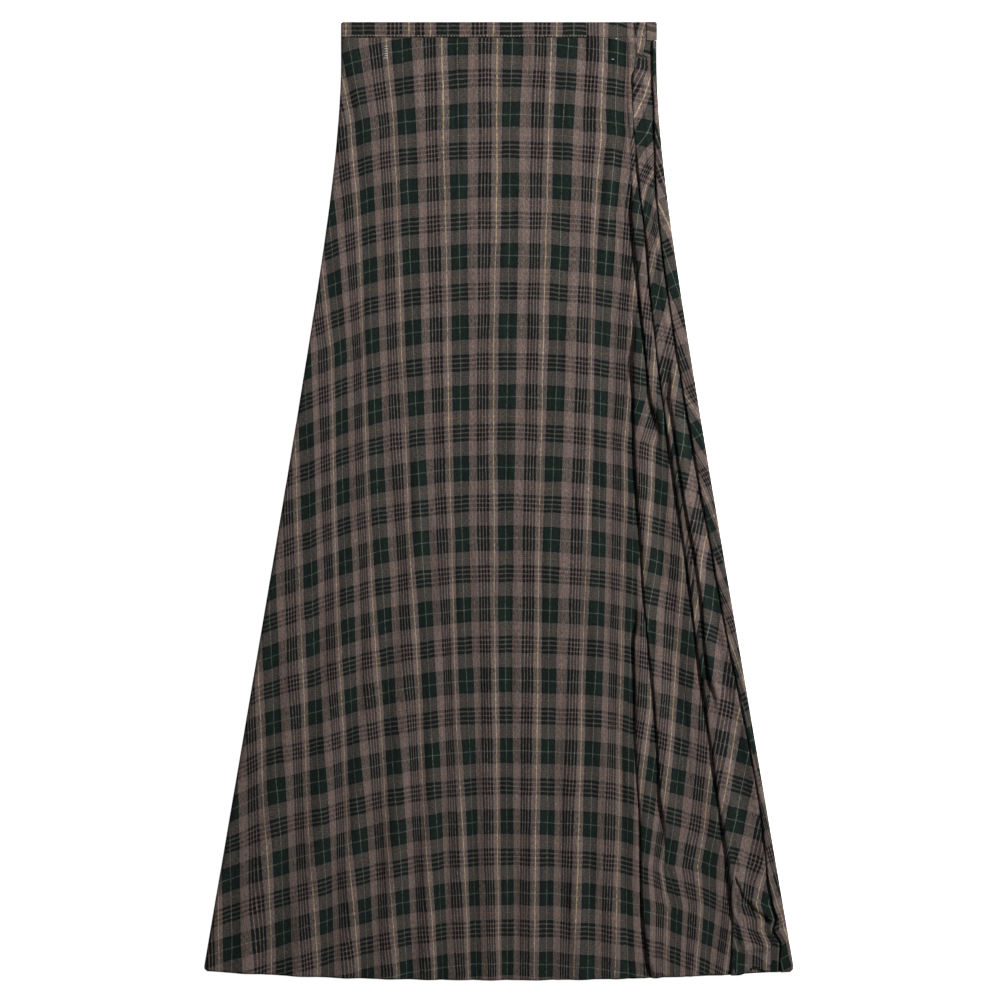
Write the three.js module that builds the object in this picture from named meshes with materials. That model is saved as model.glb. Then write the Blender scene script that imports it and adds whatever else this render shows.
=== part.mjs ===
// A plaid A-line skirt laid flat on a surface and seen from above: waist towards +Y, hem towards -Y, +Z up.
// Lengths are in millimetres. "down" is measured from the top edge of the waistband along the skirt, and
// "across" from the centre line, positive to the right as seen from above.

import * as THREE from 'three';

// Driving dimensions
const LENGTH = 958; // waistband's top edge to the hem, on the centre line
const WAIST_HALF = 158; // half the flat width of the waist
const HIP_START = 38; // the sides run straight down to here
const HIP_CURVE = 100; // the length over which the sides turn out
const FLARE = 0.1678; // how far each side runs out for each millimetre down, below the hip
const HEM_RISE = 9; // the hem is this much higher at its ends than in the middle
const HEM_ROUND = 2.2; // how the hem's rise gathers towards its ends
const CORNER = 6; // rounding of the two hem corners

const CLOTH = 1.2; // thickness of the wall that stands for the cloth
const GAP = 0.3; // clearance between neighbouring pieces
const BAND_HEIGHT = 15.5;
const BAND_THICK = 1.8; // two layers of cloth with a seam between them
const BAND_CORNER = 3;
const SEAM = BAND_HEIGHT + GAP; // where the panels start, below the waistband

const BACK_LEVEL = CLOTH / 2; // height of the middle of the back panel's wall
const FRONT_LEVEL = CLOTH + GAP + CLOTH / 2; // height of the middle of the front panel's wall where it lies down

// Sections at which the panels' walls are worked out
const SECTIONS_DOWN = [
  SEAM, 22, 30, 40, 62, 100, 145, 190, 240, 290, 340, 395, 450, 505, 560, 615, 670, 725, 780, 830, 870, 900,
  930, LENGTH - CORNER, LENGTH,
];

// Soft ripples that open towards the hem: where each starts, its crest at the start and at the hem, and its size there
const RIPPLES = [
  { start: 430, crestStart: -165, crestHem: -247, height: 2.2, width: 13 },
  { start: 300, crestStart: -121, crestHem: -198, height: 3.4, width: 14 },
  { start: 380, crestStart: -107, crestHem: -154, height: 2.9, width: 12 },
  { start: 240, crestStart: -66, crestHem: -112, height: 3.6, width: 12 },
  { start: 340, crestStart: -49, crestHem: -74, height: 3.0, width: 10 },
  { start: 420, crestStart: -32, crestHem: -43, height: 2.6, width: 9 },
  { start: 280, crestStart: -8, crestHem: -10, height: 3.5, width: 12 },
  { start: 360, crestStart: 24, crestHem: 35, height: 3.1, width: 14 },
  { start: 300, crestStart: 52, crestHem: 81, height: 3.3, width: 12 },
  { start: 400, crestStart: 82, crestHem: 118, height: 2.7, width: 11 },
];

// The two tucks on each side of the waist, as low rounded plies that run out below the waistband
const TUCKS_ACROSS = [-112, -88, 89, 113];
const TUCK = { height: 1.1, width: 3.2, length: 24 };

// Overlapping folds at the right hip, from left to right. The cloth on the right of each fold edge lies on top.
const FOLD_RADIUS = 0.95; // radius of the cloth's middle where it turns back
const FADED = 0.02; // the least a fold turns, which is next to flat
const FOLDS = [
  { edge: 'third', from: 560, to: 1000, fade: 90, overlap: 2.5, drop: 9 },
  { edge: 'second', from: 330, to: 850, fade: 110, overlap: 3, drop: 10 },
  { edge: 'first', from: 130, to: 440, fade: 90, overlap: 2, drop: 6 },
  { edge: 'main', from: 22, to: 1000, fade: 26, overlap: 7, drop: 10 },
  { edge: 'twin', from: 335, to: 700, fade: 60, overlap: 2, drop: 9 },
];

// Where the fold edges run, and the edge of the strip of the back panel that is turned to the front ("turned").
// Above and below its own stretch, a fold's line only guides the points of the wall.
const FOLD_LINES = [
  { down: 16, third: 112, second: 119, first: 126, main: 136, twin: 143, turned: 153.5 },
  { down: 78, third: 112, second: 119, first: 126, main: 133, twin: 141, turned: 154.5 },
  { down: 120, third: 114, second: 121, first: 128, main: 136, twin: 143, turned: 155.5 },
  { down: 173, third: 116, second: 123, first: 131, main: 141, twin: 147, turned: 157.5 },
  { down: 220, third: 118, second: 126, first: 134, main: 147, twin: 153, turned: 162 },
  { down: 273, third: 121, second: 129, first: 140, main: 151, twin: 158, turned: 169 },
  { down: 320, third: 123, second: 132, first: 145, main: 156, twin: 163, turned: 176 },
  { down: 370, third: 126, second: 134, first: 150, main: 162, twin: 169, turned: 184 },
  { down: 420, third: 128, second: 135, first: 156, main: 169, twin: 176, turned: 193 },
  { down: 480, third: 130, second: 138, first: 159, main: 178, twin: 185, turned: 203 },
  { down: 528, third: 132, second: 142, first: 163, main: 185, twin: 194, turned: 212 },
  { down: 580, third: 134, second: 145, first: 168, main: 192, twin: 202, turned: 221 },
  { down: 633, third: 135, second: 150, first: 173, main: 198, twin: 206, turned: 231 },
  { down: 680, third: 136, second: 155, first: 178, main: 205, twin: 212, turned: 241 },
  { down: 738, third: 137, second: 159, first: 182, main: 213, twin: 222, turned: 252 },
  { down: 798, third: 141, second: 161, first: 184, main: 221, twin: 231, turned: 262 },
  { down: 850, third: 142, second: 163, first: 186, main: 228, twin: 237, turned: 267.5 },
  { down: 890, third: 143, second: 164, first: 188, main: 232, twin: 241, turned: 272 },
  { down: 920, third: 146, second: 166, first: 190, main: 233, twin: 242, turned: 275 },
  { down: 958, third: 151, second: 168, first: 192, main: 231, twin: 241, turned: 278 },
];

// The strip of the back panel that is turned to the front at the right side
const TURN_RADIUS = 2.75; // the cloth's middle round the skirt's right side
const TURN_EDGE_RADIUS = 0.75; // the cloth's middle round the strip's own fold edge
const TURN_UNDER = 8; // how far the strip goes back under itself
const STRIP_MIN = 4.9; // narrowest strip that both turns leave room for
const STRIP_START = 19.4; // the strip starts below the end of the waistband
const FRONT_END_INSET = 4; // the front panel ends this far inside the skirt's right side

// Joints of the waistband's front, across
const BAND_JOINT_LEFT = -83;
const BAND_JOINT_RIGHT = 88;
const BAND_JOINT_END = 147;
const BAND_END = { height: 18.8, thick: 1.9, level: 3.05 };
const BAND_BEVEL = 0.35;

// How many steps each stretch of a section is drawn with
const STEPS = { leftOfFolds: 46, betweenFolds: 4, afterFolds: 6, foldTurn: 3, bandCorner: 5 };

const COLOURS = { panel: 0x4a443c, band: 0x46413a };

const clamp01 = (value) => Math.min(1, Math.max(0, value));

function softStep(value) {
  const t = clamp01(value);
  return t * t * (3 - 2 * t);
}

const bump = (distance, width) => Math.exp(-((distance / width) ** 2));

const yAt = (down) => LENGTH / 2 - down;

// Half the skirt's width at a height
function sideAt(down) {
  const below = Math.max(0, down - HIP_START);
  const rounding = cornerRounding(down);
  return WAIST_HALF + FLARE * (below - HIP_CURVE * (1 - Math.exp(-below / HIP_CURVE))) - rounding;
}

// How much the hem corner's round takes off the side
function cornerRounding(down) {
  const into = clamp01((down - (LENGTH - CORNER)) / CORNER);
  return CORNER * 0.6 * (1 - Math.sqrt(1 - into * into));
}

const HEM_HALF = sideAt(LENGTH - CORNER);

// A point on the hem is this far down
const hemAt = (across) => LENGTH - HEM_RISE * Math.min(1, Math.abs(across / HEM_HALF)) ** HEM_ROUND;

// Real place of a section's point: sections run straight at the waist and follow the hem's curve at the hem
function placedDown(sectionDown, across) {
  const share = (sectionDown - SEAM) / (LENGTH - SEAM);
  return SEAM + share * (hemAt(across) - SEAM);
}

// Reads one column of the fold lines at a height, as a smooth curve through its rows
function foldLine(name, down) {
  const last = FOLD_LINES.length - 1;
  const next = Math.min(last, Math.max(1, FOLD_LINES.findIndex((row) => row.down >= down)));
  const index = down > FOLD_LINES[last].down ? last : next;
  const slopeAt = (i) => {
    const a = FOLD_LINES[Math.max(0, i - 1)];
    const b = FOLD_LINES[Math.min(last, i + 1)];
    return (b[name] - a[name]) / (b.down - a.down);
  };
  const low = FOLD_LINES[index - 1];
  const high = FOLD_LINES[index];
  const span = high.down - low.down;
  const t = clamp01((down - low.down) / span);
  const ease = t * t * (3 - 2 * t);
  const ends = (1 - ease) * low[name] + ease * high[name];
  const tangents = t * (1 - t) * ((1 - t) * slopeAt(index - 1) - t * slopeAt(index)) * span;
  return ends + tangents;
}

// How far a fold has opened at a height: next to nothing where it has faded out, 1 where it lies fully over
function foldAmount(fold, down) {
  const open = softStep((down - fold.from) / fold.fade) * softStep((fold.to - down) / fold.fade);
  return Math.max(FADED, open);
}

// The left edge of the turned strip
const turnedEdge = (down) => Math.min(foldLine('turned', down), sideAt(down) - STRIP_MIN);

// Height of the ripples and tucks above the lying cloth
function softRelief(across, down) {
  let height = 0;
  for (const ripple of RIPPLES) {
    const share = (down - ripple.start) / (LENGTH - ripple.start);
    const crest = ripple.crestStart + share * (ripple.crestHem - ripple.crestStart);
    height += ripple.height * softStep(share) * bump(across - crest, ripple.width * (0.7 + 0.3 * clamp01(share)));
  }
  for (const tuck of TUCKS_ACROSS) {
    height += TUCK.height * softStep((SEAM + TUCK.length - down) / TUCK.length) * bump(across - tuck, TUCK.width);
  }
  const fromSide = sideAt(down) - Math.abs(across);
  return height * softStep(fromSide / 14);
}

// The turns of one fold, from where the cloth starts to rise to where it lies on top. As the fold fades out, its
// turns straighten. Each point is { x, z } from the start of the fold.
function foldTurns(amount, overlap) {
  const angle = Math.PI * amount;
  const radius = FOLD_RADIUS / amount;
  const straight = overlap * clamp01(amount * 2 - 1);
  const points = [];
  for (let i = 1; i <= STEPS.foldTurn; i++) {
    const turned = (angle * i) / STEPS.foldTurn;
    points.push({ x: radius * Math.sin(turned), z: radius * (1 - Math.cos(turned)) });
  }
  const corner = points[points.length - 1];
  const x = corner.x + straight * Math.cos(angle);
  const z = corner.z + straight * Math.sin(angle);
  for (let i = 1; i <= STEPS.foldTurn; i++) {
    const left = angle * (1 - i / STEPS.foldTurn);
    points.push({
      x: x + radius * (Math.sin(angle) - Math.sin(left)),
      z: z + radius * (Math.cos(left) - Math.cos(angle)),
    });
  }
  return points;
}

// The middle of the front panel's wall at one section, from its left edge to its end under the turned strip
function frontSection(down) {
  const points = [];
  const raised = []; // the folds passed so far, whose height the cloth still has to lose
  const heightLeft = (x) => raised.reduce(
    (sum, fold) => sum + fold.rise * (1 - softStep((x - fold.x - fold.hold) / fold.drop)),
    0,
  );
  const layDown = (x) => softStep((turnedEdge(down) - 0.5 - x) / 6);
  const add = (x, lift) => {
    const relief = (softRelief(x, down) + heightLeft(x)) * layDown(x);
    points.push({ x, z: FRONT_LEVEL + relief + lift });
  };
  let x = -sideAt(down);
  FOLDS.forEach((fold, index) => {
    const amount = foldAmount(fold, down);
    const turns = foldTurns(amount, fold.overlap);
    const reach = Math.min(0, ...turns.map((point) => point.x));
    const start = Math.max(x + 0.6, foldLine(fold.edge, down) + CLOTH / 2 - reach);
    const steps = index === 0 ? STEPS.leftOfFolds : STEPS.betweenFolds;
    for (let i = 0; i <= steps; i++) {
      add(x + ((start - x) * i) / steps, 0);
    }
    turns.slice(0, -1).forEach((turn) => add(start + turn.x, turn.z));
    const end = turns[turns.length - 1];
    x = start + end.x;
    const straight = fold.overlap * clamp01(amount * 2 - 1);
    raised.push({ x, rise: end.z, hold: straight + 2 * FOLD_RADIUS, drop: fold.drop });
  });
  const last = sideAt(down) - FRONT_END_INSET;
  for (let i = 0; i <= STEPS.afterFolds; i++) {
    add(x + ((last - x) * i) / STEPS.afterFolds, 0);
  }
  return points.map((point) => ({ x: point.x, z: point.z, down: placedDown(down, point.x) }));
}

// The middle of the back panel's wall at one section: flat under the front, round the right side, and back on top
function backSection(down) {
  const points = [];
  const side = sideAt(down);
  const turnAt = side - CLOTH / 2 - TURN_RADIUS;
  const top = BACK_LEVEL + 2 * TURN_RADIUS;
  const edgeAt = turnedEdge(down) + CLOTH / 2 + TURN_EDGE_RADIUS;
  const underEnd = Math.max(edgeAt + 0.3, Math.min(edgeAt + TURN_UNDER, turnAt));
  const flatSteps = 8;
  for (let i = 0; i <= flatSteps; i++) {
    const x = -side + ((turnAt + side) * i) / flatSteps;
    points.push({ x, z: BACK_LEVEL, onTop: false });
  }
  const turnSteps = 7;
  for (let i = 1; i <= turnSteps; i++) {
    const angle = -Math.PI / 2 + (Math.PI * i) / turnSteps;
    points.push({
      x: turnAt + TURN_RADIUS * Math.cos(angle),
      z: BACK_LEVEL + TURN_RADIUS + TURN_RADIUS * Math.sin(angle),
      onTop: true,
    });
  }
  const edgeSteps = 5;
  for (let i = 0; i <= edgeSteps; i++) {
    const angle = Math.PI / 2 + (Math.PI * i) / edgeSteps;
    points.push({
      x: edgeAt + TURN_EDGE_RADIUS * Math.cos(angle),
      z: top - TURN_EDGE_RADIUS + TURN_EDGE_RADIUS * Math.sin(angle),
      onTop: true,
    });
  }
  points.push({ x: underEnd, z: top - 2 * TURN_EDGE_RADIUS, onTop: true });
  return points.map((point) => ({
    x: point.x,
    z: point.z,
    down: point.onTop ? Math.max(STRIP_START, placedDown(down, point.x)) : placedDown(down, point.x),
  }));
}

// A closed wall of even thickness on sections that all have the same number of points
function wall(sections, thickness) {
  const rings = sections.map((section) => {
    const upper = [];
    const lower = [];
    section.forEach((point, i) => {
      const before = section[Math.max(0, i - 1)];
      const after = section[Math.min(section.length - 1, i + 1)];
      const run = after.x - before.x;
      const rise = after.z - before.z;
      const length = Math.hypot(run, rise);
      const nx = (-rise / length) * (thickness / 2);
      const nz = (run / length) * (thickness / 2);
      upper.push([point.x + nx, yAt(point.down), point.z + nz]);
      lower.push([point.x - nx, yAt(point.down), point.z - nz]);
    });
    return [...upper, ...lower.reverse()];
  });
  return loft(rings);
}

// A closed body through rings of equal length, with flat ends made of a strip across each end ring
function loft(rings) {
  const count = rings[0].length;
  const positions = rings.flat(2);
  const faces = [];
  for (let ring = 0; ring < rings.length - 1; ring++) {
    for (let i = 0; i < count; i++) {
      const a = ring * count + i;
      const b = ring * count + ((i + 1) % count);
      faces.push(a, a + count, b, b, a + count, b + count);
    }
  }
  const lastRing = (rings.length - 1) * count;
  for (let i = 0; i < count / 2 - 1; i++) {
    const opposite = count - 1 - i;
    faces.push(i, i + 1, opposite, i + 1, opposite - 1, opposite);
    faces.push(
      lastRing + i, lastRing + opposite, lastRing + i + 1,
      lastRing + i + 1, lastRing + opposite, lastRing + opposite - 1,
    );
  }
  const geometry = new THREE.BufferGeometry();
  geometry.setAttribute('position', new THREE.Float32BufferAttribute(positions, 3));
  geometry.setIndex(faces);
  geometry.computeVertexNormals();
  return geometry;
}

// A straight piece of waistband that lies flat, with rounded top corners where a radius is given
function bandPiece({ left, right, height, thick, leftRound = 0, rightRound = 0 }) {
  const top = yAt(0);
  const inset = BAND_BEVEL;
  const outline = new THREE.Shape();
  outline.moveTo(left + inset, top - height + inset);
  outline.lineTo(right - inset, top - height + inset);
  outline.lineTo(right - inset, top - inset - rightRound);
  if (rightRound > 0) {
    outline.absarc(right - inset - rightRound, top - inset - rightRound, rightRound, 0, Math.PI / 2, false);
  }
  outline.lineTo(left + inset + leftRound, top - inset);
  if (leftRound > 0) {
    outline.absarc(left + inset + leftRound, top - inset - leftRound, leftRound, Math.PI / 2, Math.PI, false);
  }
  outline.closePath();
  return new THREE.ExtrudeGeometry(outline, {
    depth: thick - 2 * BAND_BEVEL,
    bevelEnabled: true,
    bevelThickness: BAND_BEVEL,
    bevelSize: BAND_BEVEL,
    bevelSegments: 1,
    curveSegments: STEPS.bandCorner,
  });
}

const skirt = new THREE.Group();

function cloth(colour) {
  return new THREE.MeshStandardMaterial({ color: colour, roughness: 0.9, metalness: 0 });
}

function add(name, geometry, colour, level = 0) {
  const mesh = new THREE.Mesh(geometry, cloth(colour));
  mesh.name = name;
  mesh.position.z = level;
  skirt.add(mesh);
}

add('back_panel', wall(SECTIONS_DOWN.map(backSection), CLOTH), COLOURS.panel);
add('front_panel', wall(SECTIONS_DOWN.map(frontSection), CLOTH), COLOURS.panel);

const bandLevel = BAND_BEVEL + BAND_THICK + GAP;
add('waistband_back', bandPiece({
  left: -WAIST_HALF,
  right: WAIST_HALF,
  height: BAND_HEIGHT,
  thick: BAND_THICK,
  leftRound: BAND_CORNER,
  rightRound: BAND_CORNER,
}), COLOURS.band, BAND_BEVEL);
add('waistband_front_left', bandPiece({
  left: -WAIST_HALF,
  right: BAND_JOINT_LEFT - GAP,
  height: BAND_HEIGHT,
  thick: BAND_THICK,
  leftRound: BAND_CORNER,
}), COLOURS.band, bandLevel);
add('waistband_front_centre', bandPiece({
  left: BAND_JOINT_LEFT,
  right: BAND_JOINT_RIGHT - GAP,
  height: BAND_HEIGHT,
  thick: BAND_THICK,
}), COLOURS.band, bandLevel);
add('waistband_front_right', bandPiece({
  left: BAND_JOINT_RIGHT,
  right: BAND_JOINT_END - GAP,
  height: BAND_HEIGHT,
  thick: BAND_THICK,
}), COLOURS.band, bandLevel);
add('waistband_end', bandPiece({
  left: BAND_JOINT_END,
  right: WAIST_HALF,
  height: BAND_END.height,
  thick: BAND_END.thick,
  rightRound: BAND_CORNER,
}), COLOURS.band, BAND_BEVEL + BAND_END.level);

export default skirt;
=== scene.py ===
# A plaid A-line skirt laid flat: its cloth, waistband and sewing, and the floor, lights and camera.
# Sizes are in millimetres unless a name says otherwise, and MM turns them into metres. As in the solids,
# "down" is measured from the waistband's top edge along the skirt, and "across" from the centre line,
# positive to the right.

import math
import random

import bpy
import numpy as np
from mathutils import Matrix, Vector, noise


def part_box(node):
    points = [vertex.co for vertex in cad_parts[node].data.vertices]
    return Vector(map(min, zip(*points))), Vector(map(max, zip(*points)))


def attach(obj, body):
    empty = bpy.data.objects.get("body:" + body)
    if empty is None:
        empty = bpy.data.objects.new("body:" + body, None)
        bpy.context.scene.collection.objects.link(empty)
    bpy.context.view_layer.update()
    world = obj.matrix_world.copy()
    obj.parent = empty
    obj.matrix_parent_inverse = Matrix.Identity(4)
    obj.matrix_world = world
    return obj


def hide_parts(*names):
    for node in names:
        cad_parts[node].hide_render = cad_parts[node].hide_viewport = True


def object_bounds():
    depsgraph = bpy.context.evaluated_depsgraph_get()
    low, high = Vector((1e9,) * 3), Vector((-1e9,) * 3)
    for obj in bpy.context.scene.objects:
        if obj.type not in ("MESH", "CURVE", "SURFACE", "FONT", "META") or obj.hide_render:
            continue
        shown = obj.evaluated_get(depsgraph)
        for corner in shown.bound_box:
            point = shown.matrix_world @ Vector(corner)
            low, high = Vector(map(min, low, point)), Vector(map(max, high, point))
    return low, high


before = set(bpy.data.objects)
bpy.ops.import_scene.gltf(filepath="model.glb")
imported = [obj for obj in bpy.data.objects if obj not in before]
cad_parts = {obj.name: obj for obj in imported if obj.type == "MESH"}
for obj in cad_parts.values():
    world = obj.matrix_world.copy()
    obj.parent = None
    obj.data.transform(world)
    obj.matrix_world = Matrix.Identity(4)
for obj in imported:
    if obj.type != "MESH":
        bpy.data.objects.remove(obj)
cad_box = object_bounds()

MM = 0.001


def table(names, *rows):
    """The rows of a table as dictionaries, by the names of its columns."""
    return [dict(zip(names.split(), row)) for row in rows]


# Driving dimensions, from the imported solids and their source
LENGTH = (cad_box[1][1] - cad_box[0][1]) / MM
WAIST_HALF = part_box("waistband_back")[1][0] / MM
HIP_START = 38
HIP_CURVE = 100
FLARE = 0.1678
HEM_RISE = 9
HEM_ROUND = 2.2
CORNER = 6
CORNER_CUT = 0.6  # a hem corner moves in by this share of its radius

CLOTH = 1.2  # thickness of the solids' walls
SHELL = 0.7  # thickness of the cloth that shows
GAP = 0.3
BAND_HEIGHT = 15.5
SEAM = BAND_HEIGHT + GAP
BACK_LEVEL = CLOTH / 2
FRONT_LEVEL = CLOTH + GAP + CLOTH / 2

FRONT_LOWEST = 1.35  # the front's middle stays above the back's top
EASE = 0.5  # and is eased out over this much

# Soft ripples that open towards the hem: start, crest there and at the hem, height and width
RIPPLE_START_WIDTH = 0.7  # a ripple starts with this share of its width
RIPPLE_CLOTH = 1.8
RIPPLE_FLANK = 0.8  # where the most cloth is taken up, as a share of a ripple's width
RIPPLES = table(
    "start crest_start crest_hem height width",
    (430, -165, -254, 3.4, 12),
    (300, -121, -198, 4.9, 13),
    (380, -107, -154, 4.4, 11),
    (240, -66, -112, 4.9, 11),
    (340, -49, -74, 3.8, 9),
    (420, -32, -43, 3.3, 9),
    (280, -8, -10, 4.3, 11),
    (360, 24, 35, 3.9, 13),
    (300, 52, 81, 4.1, 11),
    (400, 82, 118, 3.4, 10),
)

TUCKS_ACROSS = [-112, -88, 89, 113]
TUCK = dict(height=1.1, width=3.2, length=24)

# Soft dents and ridges: from and to as (across, down), height and width. Those beside the
# tucks fade out sooner.
CREASE_FADE = 30
TUCK_CREASE_FADE = 3
TUCK_CREASE_END = 60
CREASES = table(
    "start end height width",
    ((-133, 180), (-136, 255), -0.9, 7),
    ((-136, 250), (-154, 480), -1.3, 8),
    ((-154, 480), (-160, 590), -1.0, 8),
    ((-108, 14), (-107, 34), -1.3, 1.6),
    ((-85, 14), (-86, 30), -0.8, 1.6),
    ((109, 14), (109.5, 34), -1.0, 1.6),
)

# The crumple at the foot of the main fold: ridges and dents beside it
CRUMPLE_FADE = 4
CRUMPLES = table(
    "start end height width",
    ((224, 798), (230, 831), 1.2, 2.4),
    ((230, 831), (232, 862), 1.6, 2.4),
    ((231, 870), (231, 892), 1.8, 3.2),
    ((229, 900), (232, 912), 1.4, 2.4),
    ((232, 912), (230, 940), 1.2, 2.6),
    ((236, 840), (238, 866), -1.6, 2.4),
    ((237, 880), (238, 925), -1.3, 2.6),
    ((224, 846), (225, 880), -1.2, 2.4),
    ((222, 892), (221, 935), -1.3, 3.2),
    ((266, 905), (268, 926), -2.0, 2.6),
    ((248, 934), (266, 933), 2.2, 3.0),
    ((249, 905), (247, 930), 0.9, 4.5),
)

# The lower left edge of a fold of cloth that lies over the cloth below it, from and to as (across, down)
FLAP_EDGE = 1.5
FLAP_FADE = 3.5
FLAPS = table(
    "start end height reach",
    ((135, 15), (136.5, 24), 1.2, 7),
    ((136.5, 24), (139.5, 32), 1.3, 6),
    ((139.5, 32), (146, 34), 1.2, 5),
    ((237, 861), (244, 878), 3.4, 11),
    ((244, 878), (256, 892), 3.8, 11),
    ((256, 892), (271, 904), 3.4, 10),
)

# The rows of the check step down below the lower flap, over this much beside it and below it
FLAP_LINE = dict(across=[237, 244, 256, 271], down=[861, 878, 892, 904], rise=-8, beside=3, below=2)

# The hem is drawn up here in a small arch
HEM_LIFT = dict(across=256, height=7, width=8, reach=60, rise=1.5)

# How far the edge of the turned strip waves to the right near the hem, as (down, shift)
EDGE_WAVE = [(868, 0), (891, 1.9), (904, 4.4), (915, -0.5), (928, 6.0), (941, 4.2), (958, 3.0)]

# Overlapping folds at the right hip, from left to right, each on top of the cloth on its left. The lip is
# how far that cloth rises, softly, before it dives steeply under the fold.
FADED = 0.02  # a fold that has faded out keeps this share, so that every row has as many points
LIP_BACK = 3.3  # a lip's top is this far left of its fold's edge
LIP_RISE = 12
LIP_DIVE = 1.5
FOLDS = table(
    "edge start end fade overlap drop radius lip",
    ("third", 560, 1000, 90, 2.5, 9, 1.2, 1.6),
    ("second", 265, 850, 110, 3, 12, 1.35, 2.2),
    ("first", 130, 440, 90, 2, 7, 1.3, 2.2),
    ("main", 22, 1000, 50, 7, 8, 1.45, 2.6),
    ("twin", 335, 700, 60, 2, 9, 1.2, 1.0),
)

# The folds are pressed flat at the waist, open to their full height below it, and sink a little at the hem
OPENING = dict(at_waist=0.35, start=90, fade=190, hem_start=770, hem_fade=70, hem_loss=0.3)

# Where the fold edges run, and the left edge of the back panel's strip that is turned to the front
FOLD_LINES = table(
    "down third second first main twin turned",
    (16, 112, 119, 126, 136, 143, 153.5),
    (78, 112, 119, 126, 133, 141, 154.5),
    (120, 114, 121, 128, 136, 143, 155.5),
    (173, 116, 123, 131, 141, 147, 157.5),
    (220, 118, 126, 134, 147, 153, 162),
    (273, 121, 129, 140, 151, 158, 169),
    (320, 123, 132, 145, 156, 163, 176),
    (370, 126, 134, 150, 162, 169, 184),
    (420, 128, 135, 156, 169, 176, 193),
    (480, 130, 138, 159, 178, 185, 203),
    (528, 132, 142, 163, 185, 194, 212),
    (580, 134, 145, 168, 192, 202, 221),
    (633, 135, 150, 173, 198, 206, 231),
    (680, 136, 155, 178, 205, 212, 241),
    (738, 137, 159, 182, 213, 222, 252),
    (798, 141, 161, 184, 221, 231, 262),
    (850, 142, 163, 186, 228, 237, 267.5),
    (890, 143, 164, 188, 232, 241, 272),
    (920, 146, 166, 190, 233, 242, 275),
    (958, 151, 168, 192, 231, 241, 278),
)

# The back's turn round the right side, the turned strip's rounded edge, and how far the cloth runs under it
TURN_RADIUS = 2.75
TURN_EDGE_RADIUS = 0.75
TURN_UNDER = 8
STRIP_LIP = 1.7  # the front rises by this before it dives under the turned strip
STRIP_LIP_BACK = 2.6
STRIP_LIP_RISE = 5
STRIP_MIN = 4.9  # the strip's least width
STRIP_START = 19.4  # how far down the strip starts, below the tab
FRONT_END_INSET = 4  # the front ends this far in from the right side, inside the back's turn

# The cloth's check. A green column's centre is at 0 across, and a green row's centre at 0 along.
REPEAT_ACROSS = 63
REPEAT_ALONG = 70.7
CUT_RADIUS = 870  # the front is cut as a slice of a ring, with this radius to the waist seam
FIRST_ROW = 22  # how far down the first green row lies on the centre line
COLUMN_BLEND = 34  # the whole columns give way to the folds' table over this much
WANDER = dict(size=2.2, across=15, down=240, seed=1.7)  # how far the columns wander, and over which lengths
BACK_SPREAD = 1.4  # the back's columns lie closer together by this factor

# The rows right of the main fold lie this much higher than the cut alone would have them
RIGHT_RISE = dict(rise=9.5, start=200, fade=220, beside=4)

# Where the rows of the front lie higher than the cut alone would have them, by how much and over which reach
ROW_RISES = table(
    "across down rise reach_across reach_down",
    (-20, 480, 1.1, 120, 420),
    (-50, 36, 3.0, 70, 30),
    (-125, 160, 1.8, 45, 110),
    (-230, 745, 5.5, 32, 95),
    (112, 735, 3.0, 40, 150),
)

# Where each green column, by its number from the centre, lies across the front at some heights, left of the
# folds
GREEN_HEIGHTS = [22, 100, 190, 330, 490, 640, 950]
GREEN_COLUMNS = {
    -8: [-375, -358, -344, -321, -319, -317, -315],
    -7: [-330, -312, -298, -279, -276, -273, -266],
    -6: [-285, -268, -255, -237, -232.5, -228, -213],
    -5: [-240, -225, -212, -195, -190, -185, -171],
    -4: [-196, -181, -170, -158, -155.5, -150.5, -131],
    -3: [-151, -136.5, -131.5, -127, -120.5, -112, -92],
    -2: [-97.5, -93.5, -90.5, -86, -79, -70.5, -55.5],
    -1: [-42, -41, -40, -39, -37.5, -33.5, -22],
    0: [14, 11.5, 10.5, 8, 6.5, 6, 8],
    1: [69, 65, 62.5, 58, 53, 49.5, 45.5],
    2: [119.5, 116.5, 113, 106, 102, 97, 87],
    3: [161, 156, 150, 142, 138.5, 135, 128],
    4: [206, 199, 192, 181, 177, 173, 168],
}

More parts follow.
